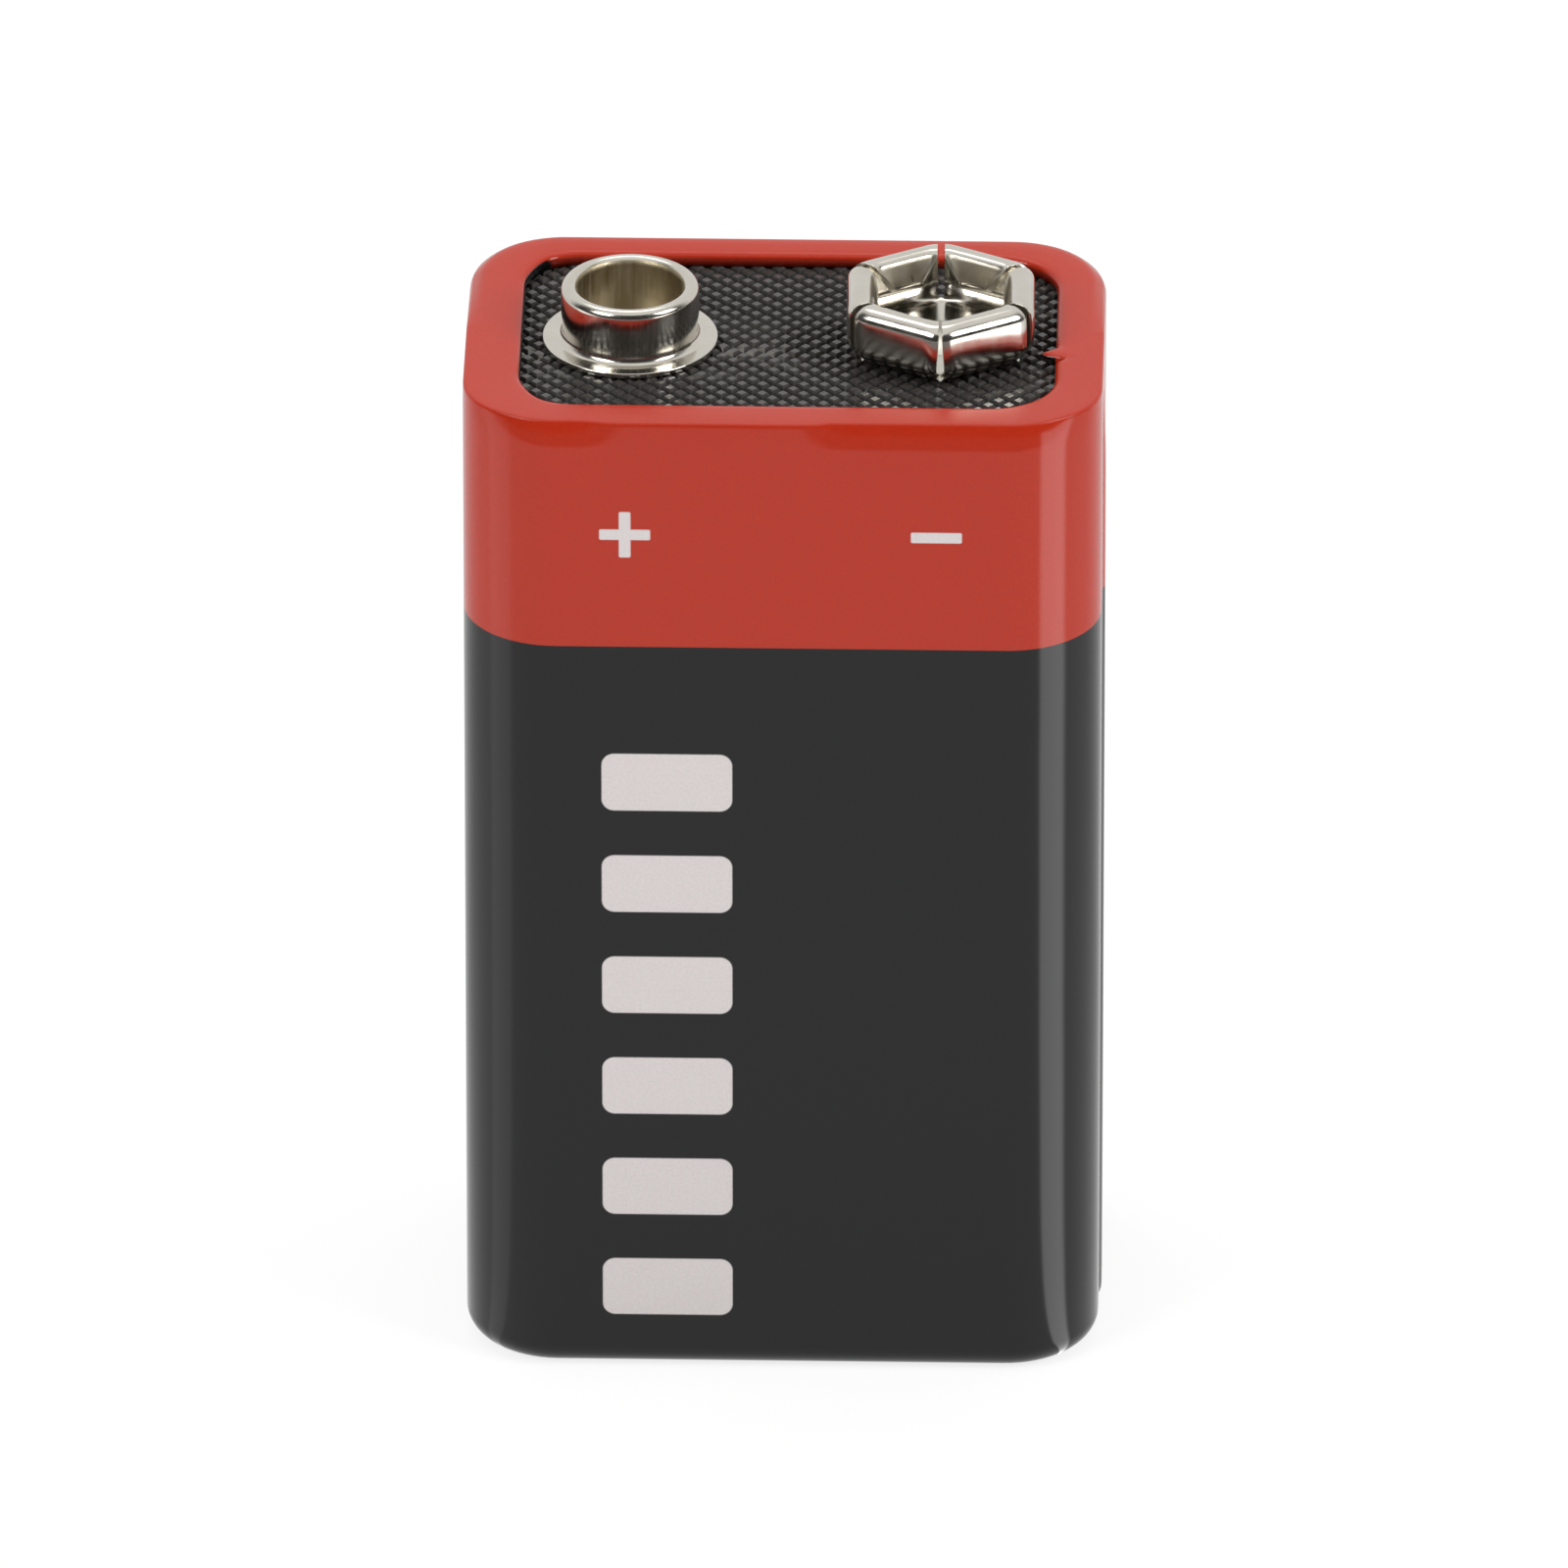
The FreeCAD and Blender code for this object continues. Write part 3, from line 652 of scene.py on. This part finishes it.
def socket_sections(settings):
    """A petal's mid-surface from the rivet's hole to its lip: reach, height, roundness and slit."""
    half = settings.sheet / 2
    z0, z1 = SOCKET_LOW.z + half, SOCKET_HIGH.z - half
    top = SOCKET_HIGH.x - SOCKET_X - half + 0.04 * MM
    foot_round, roll, inner_roll = 1.0 * MM, 0.42 * MM, 0.28 * MM
    foot = top - 0.02 * MM
    slit = settings.slit
    sections = [(RIVET_HOLE, z0, 1.0, 0.0), (1.8 * MM, z0, 0.8, 0.0), (foot - foot_round, z0, 0.0, 0.0)]
    relief = 0.22 * MM
    for r, z in arc_points((foot - foot_round, z0 + foot_round), foot_round, -90, -12, 12)[1:]:
        rise = z - z0 - relief - half
        opening = 2 * math.sqrt(max(0.0, relief ** 2 - rise ** 2)) if rise < 0.12 * MM else slit
        sections.append((r, z, 0.0, opening if rise > -relief else 0.0))
    low_r, low_z = sections[-1][:2]
    high_z = z1 - roll
    for i in range(1, 10):
        share = i / 9
        lean = low_r + (top - low_r) * share
        sections.append((lean + 0.02 * MM * math.sin(math.pi * share), low_z + (high_z - low_z) * share,
                         0.0, slit))
    sections += [(r, z, 0.0, slit) for r, z in arc_points((top - roll, high_z), roll, 12, 90, 9)]
    mouth = top - roll - 0.12 * MM
    sections += [(r, z, 0.12, slit) for r, z in arc_points((mouth, z1 - inner_roll), inner_roll, 90, 160, 7)]
    start_r, start_z = sections[-1][:2]
    low_z = z1 - settings.lip_depth
    throat = settings.throat_radius + half
    for i in range(1, 9):
        share = i / 8
        sections.append((start_r + (throat - start_r) * math.sin(share * math.pi / 2),
                         start_z + (low_z - start_z) * share, 0.12 + 0.88 * share, slit + 1.1 * MM * share))
    return sections


class BATTERY_OT_socket(bpy.types.Operator):
    """Folds one petal from a grid, repeats it round the axis and gives the sheet its thickness"""
    bl_idname = "battery.socket"
    bl_label = "Negative socket"

    def execute(self, context):
        settings = context.scene.battery_terminals
        sections = socket_sections(settings)
        rows = len(sections) - 1
        half_turn = math.pi / PETALS
        bm = bmesh.new()
        grid = bmesh.ops.create_grid(bm, x_segments=rows, y_segments=PETAL_COLUMNS, size=1.0)
        for v in grid["verts"]:
            reach, z, roundness, opening = sections[round((v.co.x + 1) / 2 * rows)]
            side = v.co.y
            if opening > 0:
                reach -= PETAL_CURL * max(0.0, (abs(side) - 0.75) / 0.25) ** 2
            flat_half = reach * math.tan(half_turn) - opening / 2 / math.cos(half_turn)
            flat = Vector((reach, flat_half * side, z))
            turn = (half_turn - math.asin(min(1.0, opening / 2 / reach))) * side
            v.co = flat.lerp(Vector((reach * math.cos(turn), reach * math.sin(turn), z)), roundness)
        lip_reach, lip_low, lip_top = 3.05 * MM, SOCKET_LOW.z + 1.5 * MM, SOCKET_HIGH.z - 0.22 * MM
        for face in bm.faces:
            middle = face.calc_center_median()
            face.smooth = True
            face.material_index = 1 if middle.x < lip_reach and lip_low < middle.z < lip_top else 0
        bmesh.ops.spin(bm, geom=list(bm.verts) + list(bm.edges) + list(bm.faces), cent=(0, 0, 0),
                       axis=(0, 0, 1), angle=math.tau * (PETALS - 1) / PETALS, steps=PETALS - 1,
                       use_duplicate=True)
        bmesh.ops.remove_doubles(bm, verts=bm.verts, dist=2e-6)
        bmesh.ops.recalc_face_normals(bm, faces=bm.faces)
        bend_z = SOCKET_LOW.z + LEAN_START
        for v in bm.verts:
            turn = math.degrees(math.atan2(v.co.x, -v.co.y))
            if abs(turn) < 59.9 and v.co.z > bend_z and v.co.y < -1.0 * MM:
                side = math.copysign(half_turn, turn)
                v.co += Vector((-math.sin(side), math.cos(side), 0)) * LEAN_SLOPE * (v.co.z - bend_z)
        bmesh.ops.rotate(bm, cent=(0, 0, 0), matrix=Matrix.Rotation(math.radians(SOCKET_TURN), 3, "Z"),
                         verts=bm.verts)
        bmesh.ops.translate(bm, vec=(SOCKET_X, 0, 0), verts=bm.verts)
        plate = plated_material(settings, SOCKET_X, "bright nickel plate, folded", 0.15, linear("#c2bdb2"),
                                0.5 * MM, 0.0008 * MM)
        # The inner lips' finish: a rougher satin plate in a brownish tone, darkened as painted shade inside
        # the socket
        satin_and_shade = plated_material(settings, SOCKET_X, "satin nickel plate with painted shade on the petals' lips", 0.34,
                               linear("#8d8474"), 0.4 * MM, 0.004 * MM, linear("#ccc5b6"))
        piece = finish_mesh(bm, "socket_petals", [plate, satin_and_shade], "terminal_nickel", "negative_socket")
        wall = piece.modifiers.new("sheet", "SOLIDIFY")
        wall.thickness = settings.sheet
        wall.offset = 0.0
        wall.use_even_offset = True
        edge = piece.modifiers.new("cut edges", "BEVEL")
        edge.width = 0.04 * MM
        edge.segments = 3
        edge.limit_method = "ANGLE"
        edge.angle_limit = math.radians(50)
        return {"FINISHED"}


class BATTERY_OT_rivets(bpy.types.Operator):
    """Spins the two rivets with their domed heads and clinched tails"""
    bl_idname = "battery.rivets"
    bl_label = "Rivets"

    def execute(self, context):
        settings = context.scene.battery_terminals
        head_z = STUD_LOW.z + settings.sheet
        shank, head, tail, flare, bore = 1.0 * MM, 1.55 * MM, 1.25 * MM, 1.6 * MM, 0.55 * MM
        rise = RIVET_HIGH.z - head_z
        dome = (head ** 2 + rise ** 2) / (2 * rise)
        half = math.degrees(math.asin(head / dome))
        low = RIVET_LOW.z
        clinch, bottom = low + 0.4 * MM, low + 1.15 * MM
        for name, slot_node, x in (("stud_rivet_turned", "stud_rivet", STUD_X),
                                   ("socket_rivet_turned", "socket_rivet", SOCKET_X)):
            points = [(0, bottom), (bore, bottom), (bore, low), (tail, low), (flare, clinch),
                      (shank, clinch), (shank, head_z), (head, head_z)]
            points += arc_points((0, RIVET_HIGH.z - dome), dome, 90 - half, 90, 10)[1:]
            bm = spun(points, x, 64)
            for face in bm.faces:
                face.smooth = True
            plate = plated_material(settings, x, "satin nickel plate on " + slot_node, 0.3,
                                    linear("#b5b0a5"), 0.3 * MM, 0.002 * MM)
            piece = finish_mesh(bm, name, [plate], "rivet_nickel", slot_node)
            piece.data.set_sharp_from_angle(angle=math.radians(40))
        return {"FINISHED"}


class BATTERY_OT_inner(bpy.types.Operator):
    """Gives the frame's own pieces their finishes"""
    bl_idname = "battery.inner"
    bl_label = "Inner pieces"

    def execute(self, context):
        finishes = {
            "steel_jacket": plain_material("tinplate", "#c9c8c4", 1.0, 0.28, 2.0 * MM, 0.003 * MM),
            "insulating_liner": plain_material("kraft paper", "#b9a27a", 0.0, 0.85, 0.3 * MM, 0.01 * MM),
            "base_plate": plain_material("black laminate", "#201d1c", 0.0, 0.4, 0.25 * MM, 0.01 * MM),
            "pad": plain_material("grey card", "#a39c8e", 0.0, 0.9, 0.25 * MM, 0.01 * MM),
            "strip": plain_material("nickel strip", "#c8c3b8", 1.0, 0.3, 0.4 * MM, 0.003 * MM),
            "lead": plain_material("nickel lead", "#c8c3b8", 1.0, 0.3, 0.4 * MM, 0.003 * MM),
            "cell": plain_material("nickel-plated steel can", "#bfbdb8", 1.0, 0.25, 1.0 * MM, 0.003 * MM),
        }
        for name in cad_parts:
            piece = bpy.data.objects[name]
            finish = next((m for key, m in finishes.items() if key in name), None)
            if finish:
                for slot in piece.material_slots:
                    slot.material = finish
        return {"FINISHED"}


# The floor's glow, as gloss and glass see it: where it starts in front, where and by how much it weakens
# behind, and a brighter sector to each side of a point near the front corner: its side, its start and end
# in degrees from straight ahead, and its power
GLOW, GLOW_TO_CAMERA = 0.92, 0.82
GLOW_START, GLOW_FULL = -0.125, -0.11
BACK_START, BACK_FULL, BACK_GLOW = -0.01, 0.02, 0.68
SECTOR_X, SECTOR_Y = 11.4 * MM, -7.0 * MM
SECTORS = ((1, 40, 74, 3.0), (-1, 57, 88, 0.5))
FLOOR_HALF = 1.5
SOFTBOXES = (("left_softbox", (-0.6, -0.5, 0.66), (0.42, 0.42), 4.3),
             ("right_softbox", (0.76, -0.32, 0.62), (0.42, 0.42), 5.2),
             ("back_softbox", (-0.1, 0.5, 0.95), (0.6, 0.3), 1.2))
LIGHT_TARGET = Vector((0, 0, 0.022))
CAMERA_AIM = Vector((-0.06 * MM, 0, 23.04 * MM))


def floor_glow(tree, x, y):
    """The floor's brightness as reflections see it."""
    lit = math_node(tree, "MULTIPLY", ranged(tree, y, GLOW_START, GLOW_FULL, 0.0, GLOW),
                    ranged(tree, y, BACK_START, BACK_FULL, 1.0, BACK_GLOW))
    for side, low, high, power in SECTORS:
        across = math_node(tree, "SUBTRACT", math_node(tree, "MULTIPLY", x, side), SECTOR_X)
        turn = math_node(tree, "ARCTAN2", across, math_node(tree, "SUBTRACT", SECTOR_Y, y))
        enter = ranged(tree, turn, math.radians(low - 2), math.radians(low + 2), smooth=True)
        leave = ranged(tree, turn, math.radians(high + 4), math.radians(high - 4), smooth=True)
        patch = math_node(tree, "MULTIPLY", math_node(tree, "MULTIPLY", enter, leave), power)
        lit = math_node(tree, "ADD", lit, patch)
    return lit


def paper_material(settings):
    """White paper that stays white to the camera, and lights the battery as a studio floor does."""
    paper = bpy.data.materials.new("white paper backdrop")
    paper.use_nodes = True
    tree = paper.node_tree
    tree.nodes.clear()
    rays = node(tree, "ShaderNodeLightPath").outputs
    by_gloss = math_node(tree, "MAXIMUM", rays["Is Glossy Ray"], rays["Is Transmission Ray"])
    seen = math_node(tree, "MAXIMUM", rays["Is Camera Ray"], by_gloss)
    place = node(tree, "ShaderNodeTexCoord").outputs["Object"]
    x, y, _ = node(tree, "ShaderNodeSeparateXYZ", {"Vector": place}).outputs
    strength = node(tree, "ShaderNodeMix", {"Factor": by_gloss, "A": GLOW_TO_CAMERA,
                    "B": floor_glow(tree, x, y)}).outputs[0]
    matt = node(tree, "ShaderNodeBsdfDiffuse", {"Color": settings.paper})
    faint = node(tree, "ShaderNodeBsdfDiffuse", {"Color": linear("#7c7c7c")})
    glow = node(tree, "ShaderNodeEmission", {"Color": settings.paper, "Strength": strength})
    both = node(tree, "ShaderNodeAddShader", {0: faint.outputs[0], 1: glow.outputs[0]})
    surface = node(tree, "ShaderNodeMixShader", {0: seen, 1: matt.outputs[0], 2: both.outputs[0]})
    node(tree, "ShaderNodeOutputMaterial", {"Surface": surface.outputs[0]})
    return paper


def studio_world():
    """White to the camera. To all else it is bright overhead and behind, and dark in front."""
    world = bpy.data.worlds.new("studio")
    world.use_nodes = True
    tree = world.node_tree
    tree.nodes.clear()
    seen = node(tree, "ShaderNodeLightPath").outputs["Is Camera Ray"]
    way = node(tree, "ShaderNodeTexCoord").outputs["Generated"]
    _, y, z = node(tree, "ShaderNodeSeparateXYZ", {"Vector": way}).outputs
    overhead = ranged(tree, z, 0.72, 0.9, smooth=True)
    behind = ranged(tree, y, -0.02, 0.45, 0.05, 0.95, smooth=True)
    room = node(tree, "ShaderNodeMix", {"Factor": overhead, "A": behind, "B": 1.0}).outputs[0]
    strength = node(tree, "ShaderNodeMix", {"Factor": seen, "A": room, "B": 1.0}).outputs[0]
    air = node(tree, "ShaderNodeBackground", {"Color": (1, 1, 1, 1), "Strength": strength})
    node(tree, "ShaderNodeOutputWorld", {"Surface": air.outputs[0]})
    return world


class BATTERY_OT_stage(bpy.types.Operator):
    """Sets up the white floor and backdrop, the soft lights and the camera"""
    bl_idname = "battery.stage"
    bl_label = "Stage and camera"

    def execute(self, context):
        settings = context.scene.battery_stage
        scene = context.scene
        bm = bmesh.new()
        bmesh.ops.create_grid(bm, x_segments=1, y_segments=1, size=FLOOR_HALF)
        mesh = bpy.data.meshes.new("paper_sweep")
        bm.to_mesh(mesh)
        bm.free()
        mesh.materials.append(paper_material(settings))
        sweep = bpy.data.objects.new("paper_sweep", mesh)
        scene.collection.objects.link(sweep)
        scene.world = studio_world()
        for name, place, size, power in SOFTBOXES:
            lamp = bpy.data.lights.new(name, "AREA")
            lamp.shape = "RECTANGLE"
            lamp.size, lamp.size_y = size
            lamp.energy = power
            holder = bpy.data.objects.new(name, lamp)
            holder.location = place
            holder.rotation_euler = (LIGHT_TARGET - Vector(place)).to_track_quat("-Z", "Y").to_euler()
            scene.collection.objects.link(holder)
        out = Vector((math.sin(settings.azimuth) * math.cos(settings.elevation),
                      -math.cos(settings.azimuth) * math.cos(settings.elevation),
                      math.sin(settings.elevation)))
        camera = bpy.data.cameras.new("camera")
        camera.lens = settings.lens
        camera.clip_start = 0.05
        camera.clip_end = 10
        holder = bpy.data.objects.new("camera", camera)
        holder.location = CAMERA_AIM + out * settings.distance
        holder.rotation_euler = (-out).to_track_quat("-Z", "Y").to_euler()
        scene.collection.objects.link(holder)
        scene.camera = holder
        scene.view_settings.view_transform = "Standard"
        return {"FINISHED"}


OPERATORS = (BATTERY_OT_stage, BATTERY_OT_film, BATTERY_OT_board, BATTERY_OT_stud, BATTERY_OT_socket,
             BATTERY_OT_rivets, BATTERY_OT_inner)


class BATTERY_PT_panel(bpy.types.Panel):
    """Sizes, colours and pieces of the battery"""
    bl_idname = "BATTERY_PT_panel"
    bl_label = "Nine volt battery"
    bl_space_type = "VIEW_3D"
    bl_region_type = "UI"
    bl_category = "Battery"

    def draw(self, context):
        for name in SETTINGS:
            group = getattr(context.scene, name)
            box = self.layout.box()
            for key in group.__annotations__:
                box.prop(group, key)
        for operator in OPERATORS:
            self.layout.operator(operator.bl_idname)


def register():
    for name, group in SETTINGS.items():
        bpy.utils.register_class(group)
        setattr(bpy.types.Scene, name, bpy.props.PointerProperty(type=group))
    for kind in OPERATORS + (BATTERY_PT_panel,):
        bpy.utils.register_class(kind)


def unregister():
    for kind in reversed(OPERATORS + (BATTERY_PT_panel,)):
        bpy.utils.unregister_class(kind)
    for name, group in SETTINGS.items():
        delattr(bpy.types.Scene, name)
        bpy.utils.unregister_class(group)


def main():
    register()
    for operator in OPERATORS:
        area, name = operator.bl_idname.split(".")
        getattr(getattr(bpy.ops, area), name)()


if __name__ == "__main__":
    main()
